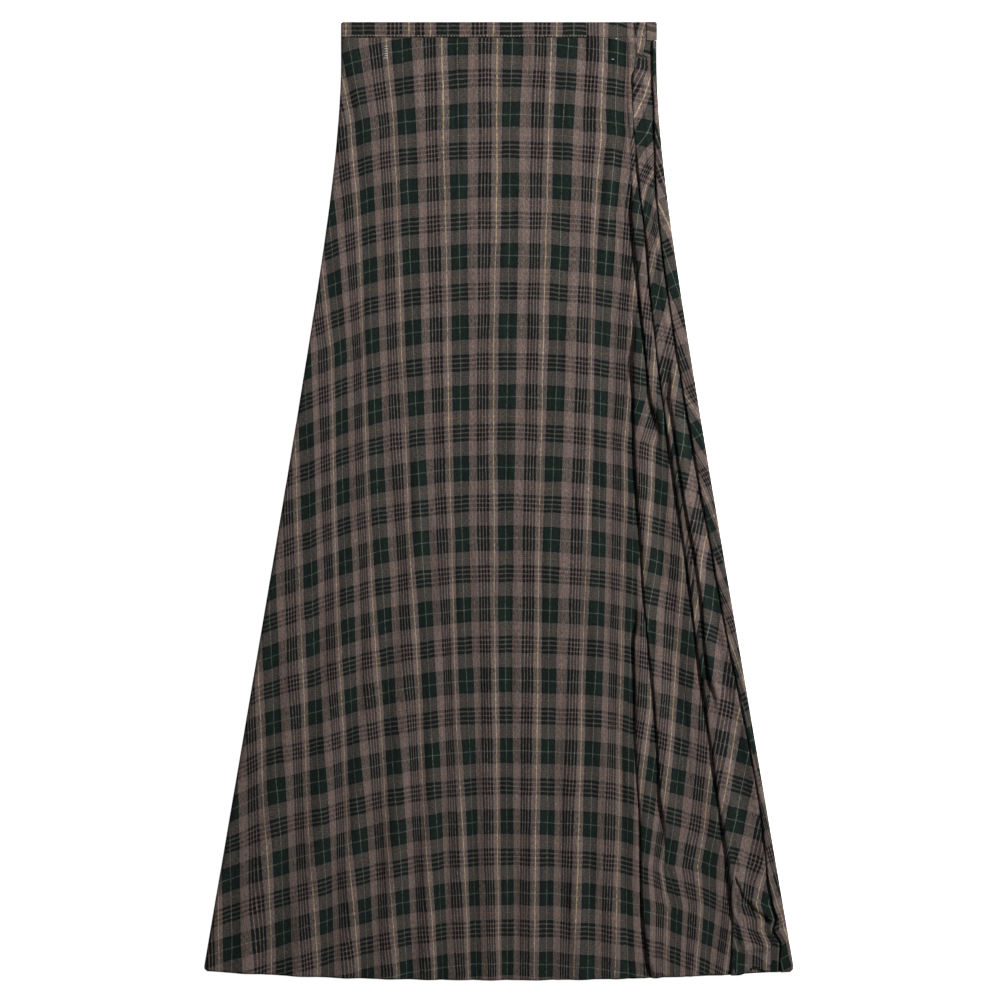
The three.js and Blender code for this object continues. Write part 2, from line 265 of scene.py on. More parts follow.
# Place on the cloth, in millimetres of cloth across, on the left and right of each fold. Where a row leaves
# a fold out, no cloth is hidden there.
FOLD_CLOTH = [
    dict(down=16, main=(148, 165), turned=186),
    dict(down=31, main=(147, 168), turned=189),
    dict(down=34, main=(147, 151), turned=171),
    dict(down=46, main=(146, 152), turned=170),
    dict(down=91, main=(148, 168), turned=188),
    dict(down=115, first=(139, 142), main=(153, 180), turned=198),
    dict(down=190, first=(158, 178), main=(196, 240), turned=285),
    dict(down=227, first=(166, 190), main=(206, 285), turned=309),
    dict(down=288, first=(184, 210), main=(226, 312), turned=334),
    dict(down=346, first=(198, 224), main=(242, 339), turned=363),
    dict(down=373, first=(204, 229), main=(251, 350), turned=375),
    dict(down=425, second=(189, 202), main=(264, 364), turned=388),
    dict(down=468, second=(192, 208), main=(277, 378), turned=404),
    dict(down=540, second=(206, 227), main=(302, 405), turned=436),
    dict(down=590, third=(193, 197), second=(220, 247), main=(316, 418), turned=453),
    dict(down=624, third=(196, 201), second=(227, 253), main=(326, 430), turned=467),
    dict(down=690, third=(201, 210), second=(244, 269), main=(349, 450), turned=489),
    dict(down=755, third=(205, 226), second=(264, 286), main=(367, 472), turned=514),
    dict(down=808, third=(213, 240), second=(281, 297), main=(385, 490), turned=535),
    dict(down=848, third=(216, 247), second=(300, 308), main=(404, 507), turned=548),
    dict(down=888, third=(217, 248), main=(418, 516), turned=572),
    dict(down=933, third=(220, 258), main=(430, 497), turned=568),
    dict(down=958, third=(222, 262), main=(435, 495), turned=570),
]

# The same for the strip of the back panel that is turned to the front: place on the cloth at the strip's own
# edge and at the skirt's side, and how far along the cloth the middle of the strip is
TURNED_CLOTH = table(
    "down edge side along",
    (19, -60, -68, -232),
    (150, -24, -31, -108),
    (201, -12, -20, -60),
    (227, 2, -16, -35),
    (265, 12, -5, 0),
    (298, 24, 4, 34),
    (373, 46, 26, 106),
    (458, 109, 87, 177),
    (488, 122, 98, 204),
    (536, 140, 120, 247),
    (606, 171, 152, 318),
    (653, 183, 166, 361),
    (838, 232, 216, 530),
    (905, 244, 229, 601),
    (958, 256, 238, 652),
)
WEFT_RISE = 0.45  # how steeply the rows of that strip rise towards the side

# Joints of the waistband's front, across
BAND_JOINT_LEFT = -83
BAND_JOINT_RIGHT = 88
BAND_JOINT_END = 147
BAND_FLOOR = 2.1  # the front waistband's underside

# How far the front rises to the waistband, and more where the cloth runs on into it at the right
SEAM_LIFT = 1.5
SEAM_LIFT_LEFT = 0.6
SEAM_REACH = 14
SEAM_BLEND_LEFT = 5
SEAM_BLEND_RIGHT = 4
SIDE_BLEND = 14  # no relief is left at the skirt's sides, and it comes back over this much


def clamp01(value):
    return min(1.0, max(0.0, value))


def soft_step(value):
    t = clamp01(value)
    return t * t * (3 - 2 * t)


def bump_at(distance, width):
    return math.exp(-((distance / width) ** 2))


def y_at(down):
    return LENGTH / 2 - down


def read_at(down, heights, values):
    return float(np.interp(down, heights, values))


# Outline

def corner_rounding(down):
    into = clamp01((down - (LENGTH - CORNER)) / CORNER)
    return CORNER * CORNER_CUT * (1 - math.sqrt(1 - into * into))


def side_at(down):
    below = max(0.0, down - HIP_START)
    flare = FLARE * (below - HIP_CURVE * (1 - math.exp(-below / HIP_CURVE)))
    return WAIST_HALF + flare - corner_rounding(down)


HEM_HALF = side_at(LENGTH - CORNER)


def hem_at(across):
    return LENGTH - HEM_RISE * min(1.0, abs(across / HEM_HALF)) ** HEM_ROUND


def placed_down(section_down, across):
    share = (section_down - SEAM) / (LENGTH - SEAM)
    return SEAM + share * (hem_at(across) - SEAM)


# Folds

def smooth_column(rows, name, down):
    """Reads one column of a table by its rows' down, as a smooth curve."""
    last = len(rows) - 1
    index = next((i for i, row in enumerate(rows) if row["down"] >= down), last)
    index = min(last, max(1, index))
    low, high = rows[index - 1], rows[index]

    def slope_at(i):
        a, b = rows[max(0, i - 1)], rows[min(last, i + 1)]
        return (b[name] - a[name]) / (b["down"] - a["down"])

    span = high["down"] - low["down"]
    t = clamp01((down - low["down"]) / span)
    ease = t * t * (3 - 2 * t)
    ends = (1 - ease) * low[name] + ease * high[name]
    return ends + t * (1 - t) * ((1 - t) * slope_at(index - 1) - t * slope_at(index)) * span


def fold_line(name, down):
    return smooth_column(FOLD_LINES, name, down)


def fold_amount(fold, down):
    opening = soft_step((down - fold["start"]) / fold["fade"])
    closing = soft_step((fold["end"] - down) / fold["fade"])
    return max(FADED, opening * closing)


def fold_opening(down):
    below = soft_step((down - OPENING["start"]) / OPENING["fade"])
    near_hem = soft_step((down - OPENING["hem_start"]) / OPENING["hem_fade"])
    opened = OPENING["at_waist"] + (1 - OPENING["at_waist"]) * below
    return opened * (1 - OPENING["hem_loss"] * near_hem)


def turned_edge(down):
    wave = read_at(down, *zip(*EDGE_WAVE))
    return min(fold_line("turned", down) + wave, side_at(down) - STRIP_MIN)


def place_by_line(line, across, down):
    """How far a point is to the right of a line, seen down along it, and how far beyond its ends."""
    (x0, d0), (x1, d1) = line["start"], line["end"]
    run, fall = x1 - x0, d1 - d0
    length = math.hypot(run, fall)
    along = ((across - x0) * run + (down - d0) * fall) / length
    beside = ((across - x0) * fall - (down - d0) * run) / length
    return beside, max(0.0, -along, along - length)


def line_relief(lines, across, down, fade):
    """Height of soft ridges and dents along straight lines. Each fades out past its ends."""
    height = 0.0
    for line in lines:
        beside, beyond = place_by_line(line, across, down)
        if abs(beside) < 3 * line["width"] and beyond < 3 * fade:
            height += line["height"] * bump_at(beside, line["width"]) * bump_at(beyond, fade)
    return height


def flap_relief(across, down):
    """Height of the flaps: a sharp rise at the edge that falls away softly behind it."""
    height = 0.0
    for flap in FLAPS:
        behind, beyond = place_by_line(flap, across, down)
        edge = soft_step((behind + FLAP_EDGE / 2) / FLAP_EDGE)
        rise = edge * math.exp(-max(0.0, behind) / flap["reach"])
        height = max(height, flap["height"] * rise * bump_at(beyond, FLAP_FADE))
    return height


def seam_relief(across, down):
    """The front rises to the waistband, and most where the cloth runs on into it."""
    from_left = soft_step((across - BAND_JOINT_RIGHT) / SEAM_BLEND_LEFT)
    from_right = soft_step((BAND_JOINT_END + SEAM_BLEND_RIGHT - across) / SEAM_BLEND_RIGHT)
    lift = SEAM_LIFT_LEFT + (SEAM_LIFT - SEAM_LIFT_LEFT) * (from_left * from_right)
    return lift * soft_step((SEAM + SEAM_REACH - down) / SEAM_REACH)


def ripple_place(ripple, down):
    """How far a ripple has opened at a height, and where its crest lies."""
    share = (down - ripple["start"]) / (LENGTH - ripple["start"])
    return share, ripple["crest_start"] + share * (ripple["crest_hem"] - ripple["crest_start"])


def soft_relief(across, down):
    """Height of all the soft shapes on the front, apart from its folds."""
    crease_fade = CREASE_FADE if down > TUCK_CREASE_END else TUCK_CREASE_FADE
    creases = line_relief(CREASES, across, down, crease_fade)
    height = creases + line_relief(CRUMPLES, across, down, CRUMPLE_FADE)
    height += flap_relief(across, down) + seam_relief(across, down)
    for ripple in RIPPLES:
        share, crest = ripple_place(ripple, down)
        width = ripple["width"] * (RIPPLE_START_WIDTH + (1 - RIPPLE_START_WIDTH) * clamp01(share))
        height += ripple["height"] * soft_step(share) * bump_at(across - crest, width)
    for tuck in TUCKS_ACROSS:
        fade = soft_step((SEAM + TUCK["length"] - down) / TUCK["length"])
        height += TUCK["height"] * fade * bump_at(across - tuck, TUCK["width"])
    from_side = side_at(down) - abs(across)
    return height * soft_step(from_side / SIDE_BLEND)


def green_column_cloth(across, down):
    """Place on the cloth at a point of the front left of its folds."""
    places = [read_at(down, GREEN_HEIGHTS, column) for column in GREEN_COLUMNS.values()]
    return read_at(across, places, list(GREEN_COLUMNS)) * REPEAT_ACROSS


def filled_row(row):
    """A row of the fold table with every fold in it, as (across, cloth on the left, cloth on the right)."""
    down = row["down"]
    anchors = [(turned_edge(down), row["turned"], row["turned"])]
    for fold in reversed(FOLDS):
        edge = fold["edge"]
        if edge in row:
            anchors.insert(0, (fold_line(edge, down), *row[edge]))
            continue
        across = fold_line(edge, down)
        known = [other["edge"] for other in FOLDS[:FOLDS.index(fold)] if other["edge"] in row]
        if known:
            x0, p0 = fold_line(known[-1], down), row[known[-1]][1]
        else:
            x0 = fold_line("third", down) - COLUMN_BLEND
            p0 = green_column_cloth(x0, down)
        x1, p1 = anchors[0][:2]
        place = p0 + (p1 - p0) * (across - x0) / (x1 - x0)
        anchors.insert(0, (across, place, place))
    return anchors


def cloth_anchors(down):
    """Each fold and the turned strip's edge at a height, as filled_row gives them."""
    heights = [row["down"] for row in FOLD_CLOTH]
    lines = [fold_line(fold["edge"], down) for fold in FOLDS] + [turned_edge(down)]
    anchors = []
    for index, across in enumerate(lines):
        left, right = (read_at(down, heights, [row[index][side] for row in FILLED_ROWS]) for side in (1, 2))
        anchors.append((across, left, right))
    return anchors


def cloth_between(across, strip, anchors, down):
    """Place on the cloth in one strip. Strip 0 is left of the first fold."""
    if strip == 0:
        edge, left, _ = anchors[0]
        near = edge - COLUMN_BLEND
        if across <= near:
            return green_column_cloth(across, down)
        start = green_column_cloth(near, down)
        return start + (left - start) * (across - near) / COLUMN_BLEND
    x0, _, p0 = anchors[strip - 1]
    x1, p1, _ = anchors[strip]
    return p0 + (p1 - p0) * (across - x0) / (x1 - x0)


FILLED_ROWS = [filled_row(row) for row in FOLD_CLOTH]


def ripple_cloth(across, down):
    """Extra cloth before a ripple's flanks and less on its crest, so that columns narrow and widen."""
    extra = 0.0
    for ripple in RIPPLES:
        share, crest = ripple_place(ripple, down)
        offset = (across - crest) / (ripple["width"] * RIPPLE_FLANK)
        extra -= RIPPLE_CLOTH * soft_step(share) * offset * math.exp(0.5 - 0.5 * offset * offset)
    return extra


def along_cloth(down, p):
    """How far along the cloth a point is, from the first green row."""
    radius = CUT_RADIUS + down
    return math.sqrt(max(1.0, radius * radius - p * p)) - CUT_RADIUS - FIRST_ROW


def row_rise(across, down):
    """How much higher the front's rows lie at a point than the cut alone would have them."""
    rise = 0.0
    for spot in ROW_RISES:
        beside = bump_at(across - spot["across"], spot["reach_across"])
        rise += spot["rise"] * beside * bump_at(down - spot["down"], spot["reach_down"])
    beyond_main = soft_step((across - fold_line("main", down)) / RIGHT_RISE["beside"])
    rise += RIGHT_RISE["rise"] * beyond_main * soft_step((down - RIGHT_RISE["start"]) / RIGHT_RISE["fade"])
    first, last = FLAP_LINE["across"][0], FLAP_LINE["across"][-1]
    from_left = soft_step((across - first + FLAP_LINE["beside"]) / FLAP_LINE["beside"])
    from_right = soft_step((last + FLAP_LINE["beside"] - across) / FLAP_LINE["beside"])
    line_down = read_at(across, FLAP_LINE["across"], FLAP_LINE["down"])
    below = soft_step((down - line_down) / FLAP_LINE["below"])
    return rise + FLAP_LINE["rise"] * (from_left * from_right) * below


# Sections

# Points across the front left of its folds, between them, right of them and in each turn, and across the back
STEPS = dict(left=140, between=11, after=26, turn=5)
BACK_STEPS = dict(flat=60, turn=12, across=6, edge=8)
ROWS = 100
WAIST_ROWS = 20
WAIST_ZONE = 50  # the rows are closer together over this much below the waistband
HEM_ROWS = 48
HEM_ZONE = 115  # the rows are closer together over this much above the hem
TURNED_CLEAR = 0.5  # the front's relief ends this far left of the turned strip, and fades over the next value
TURNED_BLEND = 4
START_CLEAR = 0.6  # the least length of cloth between two folds
EVEN_SHARE = 0.45  # how evenly the points left of the folds are spread
GATHERED_POWER = 1.5  # how much closer the points between two folds are at the right

# How much of the crinkle the cloth takes: where it is free, in a fold's turns and on the turned strip
FREE = 1.0
IN_TURNS = 0.3
ON_STRIP = 0.5


def fold_turns(fold, amount, open_radius):
    """Turns of one fold as (x, z, upper), where upper is 0 in the lower turn and 1 in the upper one."""
    angle = math.pi * amount
    radius = open_radius / amount
    straight = fold["overlap"] * clamp01(amount * 2 - 1)
    count = STEPS["turn"]
    points = []
    for i in range(1, count + 1):
        turned = angle * i / count
        points.append((radius * math.sin(turned), radius * (1 - math.cos(turned)), 0))
    x = points[-1][0] + straight * math.cos(angle)
    z = points[-1][1] + straight * math.sin(angle)
    for i in range(1, count + 1):
        left = angle * (1 - i / count)
        px = x + radius * (math.sin(angle) - math.sin(left))
        pz = z + radius * (math.cos(left) - math.cos(angle))
        points.append((px, pz, 1))
    return points


def left_share(share, strip):
    """Sets the points of a strip closer together near the fold at its right end."""
    if strip == 0:
        return share * (EVEN_SHARE + (1 - EVEN_SHARE) * share)
    return share ** GATHERED_POWER


def place_front_row(points, down):
    """Gives the points of one row of the front their final place down the skirt and on the cloth."""
    near_hem = clamp01(1 - (LENGTH - down) / HEM_LIFT["reach"])
    for point in points:
        point["down"] = placed_down(down, point["x"])
        point["q"] = along_cloth(point["down"], point["p"]) + row_rise(point["x"], down)
        arch = bump_at(point["x"] - HEM_LIFT["across"], HEM_LIFT["width"]) * near_hem ** 3
        point["down"] -= HEM_LIFT["height"] * arch
        point["z"] += HEM_LIFT["rise"] * arch
    return points


def front_section(down):
    """Middle of the front panel at one height, from left to right."""
    points = []
    raised = []
    anchors = cloth_anchors(down)
    turned = turned_edge(down)
    opening = fold_opening(down)
    lips = []
    for fold in FOLDS:
        lip_at = fold_line(fold["edge"], down) - LIP_BACK
        lips.append((lip_at, fold["lip"] * opening * fold_amount(fold, down)))

    def height_left(x):
        left = sum(rise * (1 - soft_step((x - at - hold) / drop)) for at, rise, hold, drop in raised)
        return left + sum(rise * bump_at(x - at, LIP_RISE if x < at else LIP_DIVE) for at, rise in lips)

    def add(x, lift, p, free):
        from_turned = soft_step((turned - TURNED_CLEAR - x) / TURNED_BLEND)
        relief = (soft_relief(x, down) + height_left(x)) * from_turned
        from_strip = x - (turned - STRIP_LIP_BACK)
        relief += STRIP_LIP * opening * bump_at(from_strip, STRIP_LIP_RISE if from_strip < 0 else LIP_DIVE)
        wander = noise.noise(Vector((x / WANDER["across"], down / WANDER["down"], WANDER["seed"])))
        p += ripple_cloth(x, down) + WANDER["size"] * wander
        points.append(dict(x=x, z=FRONT_LEVEL + relief + lift, p=p, free=free, lowest=FRONT_LOWEST))

    strip = 0
    x = -side_at(down)
    for index, fold in enumerate(FOLDS):
        amount = fold_amount(fold, down)
        turns = fold_turns(fold, amount, fold["radius"] * opening)
        reach = min(0.0, *(turn[0] for turn in turns))
        edge = fold_line(fold["edge"], down)
        start = max(x + START_CLEAR, edge + CLOTH / 2 - reach)
        steps = STEPS["left"] if index == 0 else STEPS["between"]
        for i in range(steps + 1):
            at = start - (start - x) * left_share(1 - i / steps, index)
            add(at, 0, cloth_between(at, strip, anchors, down), FREE)
        for dx, dz, upper in turns[:-1]:
            at = start + dx
            add(at, dz, cloth_between(at, strip + upper, anchors, down), IN_TURNS)
        strip += 1
        x = start + turns[-1][0]
        straight = fold["overlap"] * clamp01(amount * 2 - 1)
        raised.append((x, turns[-1][1], straight + 2 * fold["radius"], fold["drop"]))
    last = side_at(down) - FRONT_END_INSET
    for i in range(STEPS["after"] + 1):
        at = x + (last - x) * i / STEPS["after"]
        add(at, 0, cloth_between(at, strip, anchors, down), FREE)
    return place_front_row(points, down)


def back_section(down):
    """Middle of the back panel at one height: flat under the front, round the right side and back on top."""
    points = []
    side = side_at(down)
    turn_at = side - CLOTH / 2 - TURN_RADIUS
    top = BACK_LEVEL + 2 * TURN_RADIUS
    edge_at = turned_edge(down) + CLOTH / 2 + TURN_EDGE_RADIUS
    under_end = max(edge_at + GAP, min(edge_at + TURN_UNDER, turn_at))

    def add(x, z, on_top=True):
        points.append(dict(x=x, z=z, top=on_top))

    for i in range(BACK_STEPS["flat"] + 1):
        add(-side + (turn_at + side) * i / BACK_STEPS["flat"], BACK_LEVEL, False)
    for i in range(1, BACK_STEPS["turn"] + 1):
        angle = -math.pi / 2 + math.pi * i / BACK_STEPS["turn"]
        add(turn_at + TURN_RADIUS * math.cos(angle), BACK_LEVEL + TURN_RADIUS + TURN_RADIUS * math.sin(angle))
    for i in range(1, BACK_STEPS["across"]):
        add(turn_at + (edge_at - turn_at) * i / BACK_STEPS["across"], top)
    for i in range(BACK_STEPS["edge"] + 1):
        angle = math.pi / 2 + math.pi * i / BACK_STEPS["edge"]
        from_top = TURN_EDGE_RADIUS - TURN_EDGE_RADIUS * math.sin(angle)
        add(edge_at + TURN_EDGE_RADIUS * math.cos(angle), top - from_top)
    add(under_end, top - 2 * TURN_EDGE_RADIUS)
    for point in points:
        at = placed_down(down, point["x"])
        point["down"] = max(STRIP_START, at) if point["top"] else at
        point["free"] = ON_STRIP if point["top"] else 0.0
    return points


def back_cloth(point, down):
    """The back panel's check. The strip that is turned to the front leans across the skirt's side."""
    if not point["top"]:
        p = point["x"] * BACK_SPREAD
        return p, along_cloth(point["down"], p)
    heights = [row["down"] for row in TURNED_CLOTH]
    columns = ([row[name] for row in TURNED_CLOTH] for name in ("edge", "side", "along"))
    edge, side, along = (read_at(down, heights, column) for column in columns)
    x0, x1 = turned_edge(down), side_at(down)
    share = (point["x"] - x0) / (x1 - x0)
    return edge + (side - edge) * share, along + WEFT_RISE * (point["x"] - (x0 + x1) / 2)


# Meshes

# The crinkle's height and the lengths across and along that it varies over
CRINKLE_BASE = 0.35
CRINKLES = table(
    "height across along seed",
    (1.8, 15, 90, 0),
    (1.1, 8.5, 50, 7.3),
    (0.9, 40, 120, 3.1),
)


def crinkle(p, q, seed):
    """Fine uneven creases that run along the cloth."""
    height = CRINKLE_BASE
    for part in CRINKLES:
        place = Vector((p / part["across"], q / part["along"], seed + part["seed"]))
        height += part["height"] * noise.noise(place)
    return height


def kept_above(z, lowest):
    """Eases a height out softly, so that it never falls below the lowest one."""
    return z if z > lowest + EASE else lowest + EASE * math.exp((z - lowest - EASE) / EASE)


def shell_object(name, rows, thickness, seed, crinkled):
    """A thin closed shell on rows of points, with the cloth coordinates as its UV map."""
    count, width = len(rows), len(rows[0])
    middle = np.zeros((count, width, 3))
    cloth = np.zeros((count, width, 2))
    for r, row in enumerate(rows):
        for c, point in enumerate(row):
            lift = crinkled * point["free"] * crinkle(point["p"], point["q"], seed)
            z = kept_above(point["z"] + lift, point.get("lowest", 0.0))
            middle[r, c] = (point["x"], y_at(point["down"]), z)
            cloth[r, c] = (point["p"], point["q"])
    along = np.gradient(middle, axis=0)
    across = np.gradient(middle, axis=1)
    normal = np.cross(along, across)
    length = np.linalg.norm(normal, axis=2, keepdims=True)
    normal = normal / np.maximum(length, 1e-9)
    upper = (middle - normal * thickness / 2) * MM
    lower = (middle + normal * thickness / 2) * MM
    if upper[count // 2, width // 4, 2] < lower[count // 2, width // 4, 2]:
        upper, lower = lower, upper
    vertices = np.concatenate([upper.reshape(-1, 3), lower.reshape(-1, 3)])
    return mesh_object(name, vertices, slab_faces(count, width), np.concatenate([cloth.reshape(-1, 2)] * 2))


def slab_faces(count, width):
    """Faces of a closed slab: a grid of count rows of width points on top, the same below, and its rim."""
    size = count * width
    faces = []
    for r in range(count - 1):
        for c in range(width - 1):
            a = r * width + c
            faces.append((a, a + width, a + width + 1, a + 1))
            faces.append((size + a, size + a + 1, size + a + width + 1, size + a + width))
    rim = list(range(width))
    rim += [r * width + width - 1 for r in range(1, count)]
    rim += [(count - 1) * width + c for c in range(width - 2, -1, -1)]
    rim += [r * width for r in range(count - 2, 0, -1)]
    for a, b in zip(rim, rim[1:] + rim[:1]):
        faces.append((a, b, size + b, size + a))
    return faces


def mesh_object(name, vertices, faces, cloth):
    """cloth gives each vertex its place on the cloth in millimetres."""
    mesh = bpy.data.meshes.new(name)
    mesh.from_pydata([tuple(v) for v in vertices], [], faces)
    mesh.validate()
    layer = mesh.uv_layers.new(name="cloth")
    corners = np.zeros(len(mesh.loops), dtype=np.int32)
    mesh.loops.foreach_get("vertex_index", corners)
    layer.data.foreach_set("uv", (np.asarray(cloth)[corners] * MM).astype(np.float32).ravel())
    mesh.polygons.foreach_set("use_smooth", [True] * len(mesh.polygons))
    mesh.update()
    piece = bpy.data.objects.new(name, mesh)
    bpy.context.scene.collection.objects.link(piece)
    return piece


# Materials

GREEN = (0.0064, 0.0110, 0.0095)
GREEN_EDGE = (0.0040, 0.0065, 0.0060)
GREEN_LINE = (0.060, 0.080, 0.062)
TAUPE = (0.082, 0.0655, 0.0605)
WARM = (0.125, 0.078, 0.055)
BLACK = (0.0055, 0.0055, 0.0060)
STRAW = (0.23, 0.18, 0.112)

# One repeat of the check, as the millimetre at which each colour starts, from a green stripe's edge
WARP_SETT = [
    (0, GREEN_EDGE), (1.6, GREEN), (11.1, GREEN_LINE), (12.1, GREEN), (21.6, GREEN_EDGE), (23.2, TAUPE),
    (28.4, WARM), (29.3, TAUPE), (35.3, BLACK), (38.2, TAUPE), (39.5, BLACK), (42.4, TAUPE), (43.7, BLACK),
    (46.6, TAUPE), (47.9, BLACK), (50.8, TAUPE), (56.5, STRAW), (57.7, TAUPE),
]
WEFT_SETT = [
    (0, GREEN_EDGE), (1.6, GREEN), (12.0, GREEN_LINE), (13.0, GREEN), (23.4, GREEN_EDGE), (25.0, TAUPE),
    (31.7, WARM), (32.6, TAUPE), (39.4, BLACK), (42.5, TAUPE), (44.0, BLACK), (47.1, TAUPE), (48.6, BLACK),
    (51.7, TAUPE), (53.2, BLACK), (56.3, TAUPE),
]
WARP_GREEN = 23.2
WEFT_GREEN = 25.0
DRIFT = 3.0  # how far the stripes wander
WARP_SHARE = 0.62
DEPTH = 1.14  # the mixed yarns' contrast, as a power, and the gain that keeps their mean
DEPTH_GAIN = (1.47, 1.51, 1.54)
FLECK = (1.4, 1.04, 0.84)  # the warm tint of the flecks in the yarn

# How often each grain varies across and along, in a millimetre
DRIFT_GRAIN = (1 / 30, 1 / 60)
WARP_GRAIN = (1.1, 0.28)
WEFT_GRAIN = (0.28, 1.1)
FLECK_GRAIN = (0.85, 0.85)
SPECKLE_GRAIN = (0.9, 0.9)
CREASE_GRAIN = (1 / 4.0, 1 / 16.0)
WEAVE_GRAIN = (1.6, 1.6)
THREAD_GRAIN = 2600  # this one in a metre

# The part of a grain's noise that is used, and what it becomes: shares of the light, or of the flecks
YARN_LIGHT = (0.3, 0.7), (0.5, 1.5)
FLECK_SHARE = (0.52, 0.72), (0.0, 0.7)
SPECKLE_LIGHT = (0.35, 0.65), (0.71, 1.29)

# The relief that the grain draws on the surfaces, and the weave's share of it
CLOTH_RELIEF = 0.9
WEAVE_RELIEF = 0.25
THREAD_RELIEF = 0.1


class Nodes:
    """Adds nodes to one material and joins them."""

    def __init__(self, name):
        self.material = bpy.data.materials.new(name)
        self.material.use_nodes = True
        self.tree = self.material.node_tree
        self.shader = self.tree.nodes["Principled BSDF"]

    def join(self, source, target):
        self.tree.links.new(source, target)

    def set_shader(self, *values):
        for name, value in values:
            self.shader.inputs[name].default_value = value

    def add(self, kind, inputs=(), output=0, **settings):
        """Adds a node and gives one of its outputs.

        Each input is its name or number with a number, a colour or vector, or another node's output.
        """
        node = self.tree.nodes.new(kind)
        for key, value in settings.items():
            setattr(node, key, value)
        for key, value in inputs:
            socket = node.inputs[key]
            if isinstance(value, (int, float)):
                socket.default_value = value
            elif isinstance(value, tuple):
                socket.default_value = (*value, 1)[:len(socket.default_value)]
            else:
                self.join(value, socket)
        return node.outputs[output]

    def math(self, operation, first, second=0):
        return self.add("ShaderNodeMath", ((0, first), (1, second)), operation=operation)

    def ranged(self, value, from_range, to_range):
        """Maps one range of a value to another."""
        return self.add("ShaderNodeMapRange", enumerate((value, *from_range, *to_range)))

    def mix(self, share, first, second, blend="MIX"):
        inputs = ((0, share), (6, first), (7, second))
        return self.add("ShaderNodeMix", inputs, 2, data_type="RGBA", blend_type=blend)

    def deepened(self, colour, power, gain):
        """Darkens the dark colours and lifts the light ones."""
        darker = self.add("ShaderNodeGamma", (("Color", colour), ("Gamma", power)))
        return self.mix(1.0, darker, gain, "MULTIPLY")

    def stepped(self, position, sett, repeat):
        """The colours of one repeat, each up to where the next one starts."""
        output = self.add("ShaderNodeValToRGB", ((0, position),))
        output.node.color_ramp.interpolation = "CONSTANT"
        stops = output.node.color_ramp.elements
        while len(stops) < len(sett):
            stops.new(0.5)
        for stop, (start, colour) in zip(stops, sett):
            stop.position = start / repeat
            stop.color = (*colour, 1)
        return output

    def noise(self, vector, scale=1.0, detail=2.0, roughness=0.5):
        inputs = (("Vector", vector), ("Scale", scale), ("Detail", detail), ("Roughness", roughness))
        return self.add("ShaderNodeTexNoise", inputs, "Fac")

    def stretched(self, vector, across, along):
        inputs = ((0, vector), (1, (across, along, 1)))
        return self.add("ShaderNodeVectorMath", inputs, operation="MULTIPLY")

    def bump(self, height, distance):
        self.join(self.add("ShaderNodeBump", (("Height", height), ("Distance", distance))),
                  self.shader.inputs["Normal"])


def plaid_material(name):
    """Woven check: warp and weft colours by their place on the cloth, mixed, with yarn grain over them."""
    nodes = Nodes(name)
    in_mm = nodes.stretched(nodes.add("ShaderNodeUVMap", uv_map="cloth"), 1 / MM, 1 / MM)
    place = nodes.add("ShaderNodeSeparateXYZ", ((0, in_mm),)).node.outputs

    def grain(size, detail=1.0, roughness=0.5):
        return nodes.noise(nodes.stretched(in_mm, *size), 1.0, detail, roughness)

    drift = nodes.math("MULTIPLY", nodes.math("SUBTRACT", grain(DRIFT_GRAIN, 2.0), 0.5), DRIFT)

    def yarn(along, green, repeat, sett, size):
        shifted = nodes.math("ADD", nodes.math("ADD", along, green / 2), drift)
        position = nodes.math("FRACT", nodes.math("DIVIDE", shifted, repeat))
        colour = nodes.stepped(position, sett, repeat)
        return nodes.mix(1.0, colour, nodes.ranged(grain(size), *YARN_LIGHT), "MULTIPLY")

    warp = yarn(place[0], WARP_GREEN, REPEAT_ACROSS, WARP_SETT, WARP_GRAIN)
    weft = yarn(place[1], WEFT_GREEN, REPEAT_ALONG, WEFT_SETT, WEFT_GRAIN)
    plain = nodes.deepened(nodes.mix(1 - WARP_SHARE, warp, weft), DEPTH, DEPTH_GAIN)
    flecks = nodes.ranged(grain(FLECK_GRAIN), *FLECK_SHARE)
    woven = nodes.mix(flecks, plain, nodes.mix(1.0, plain, FLECK, "MULTIPLY"))
    speckle = nodes.ranged(grain(SPECKLE_GRAIN, 2.0, 0.8), *SPECKLE_LIGHT)
    nodes.join(nodes.mix(1.0, woven, speckle, "MULTIPLY"), nodes.shader.inputs["Base Color"])
    weave = nodes.math("MULTIPLY", grain(WEAVE_GRAIN), WEAVE_RELIEF)
    nodes.bump(nodes.math("ADD", grain(CREASE_GRAIN, 2.0), weave), CLOTH_RELIEF * MM)
    nodes.set_shader(("Roughness", 0.88), ("Specular IOR Level", 0.06))
    nodes.set_shader(("Sheen Weight", 0.02), ("Sheen Roughness", 0.5))
    return nodes.material


def thread_material(name, colour):
    nodes = Nodes(name)
    fibre = nodes.noise(nodes.add("ShaderNodeTexCoord", output="Object"), THREAD_GRAIN)
    shaded = nodes.mix(fibre, tuple(c * 0.75 for c in colour), tuple(min(1.0, c * 1.25) for c in colour))
    nodes.join(shaded, nodes.shader.inputs["Base Color"])
    nodes.bump(fibre, THREAD_RELIEF * MM)
    nodes.set_shader(("Roughness", 0.7))
    return nodes.material


PLAID = plaid_material("plaid_cloth")
BAND_PLAID = plaid_material("band_cloth")
THREAD = thread_material("thread", (0.34, 0.26, 0.17))
PALE_THREAD = thread_material("pale_thread", (0.36, 0.37, 0.35))


def dress(piece, material, slot, *nodes):
    """Gives a piece its material and place in the frame."""
    piece.data.materials.append(material)
    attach(piece, "root")
    if nodes:
        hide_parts(*nodes)


# Panels

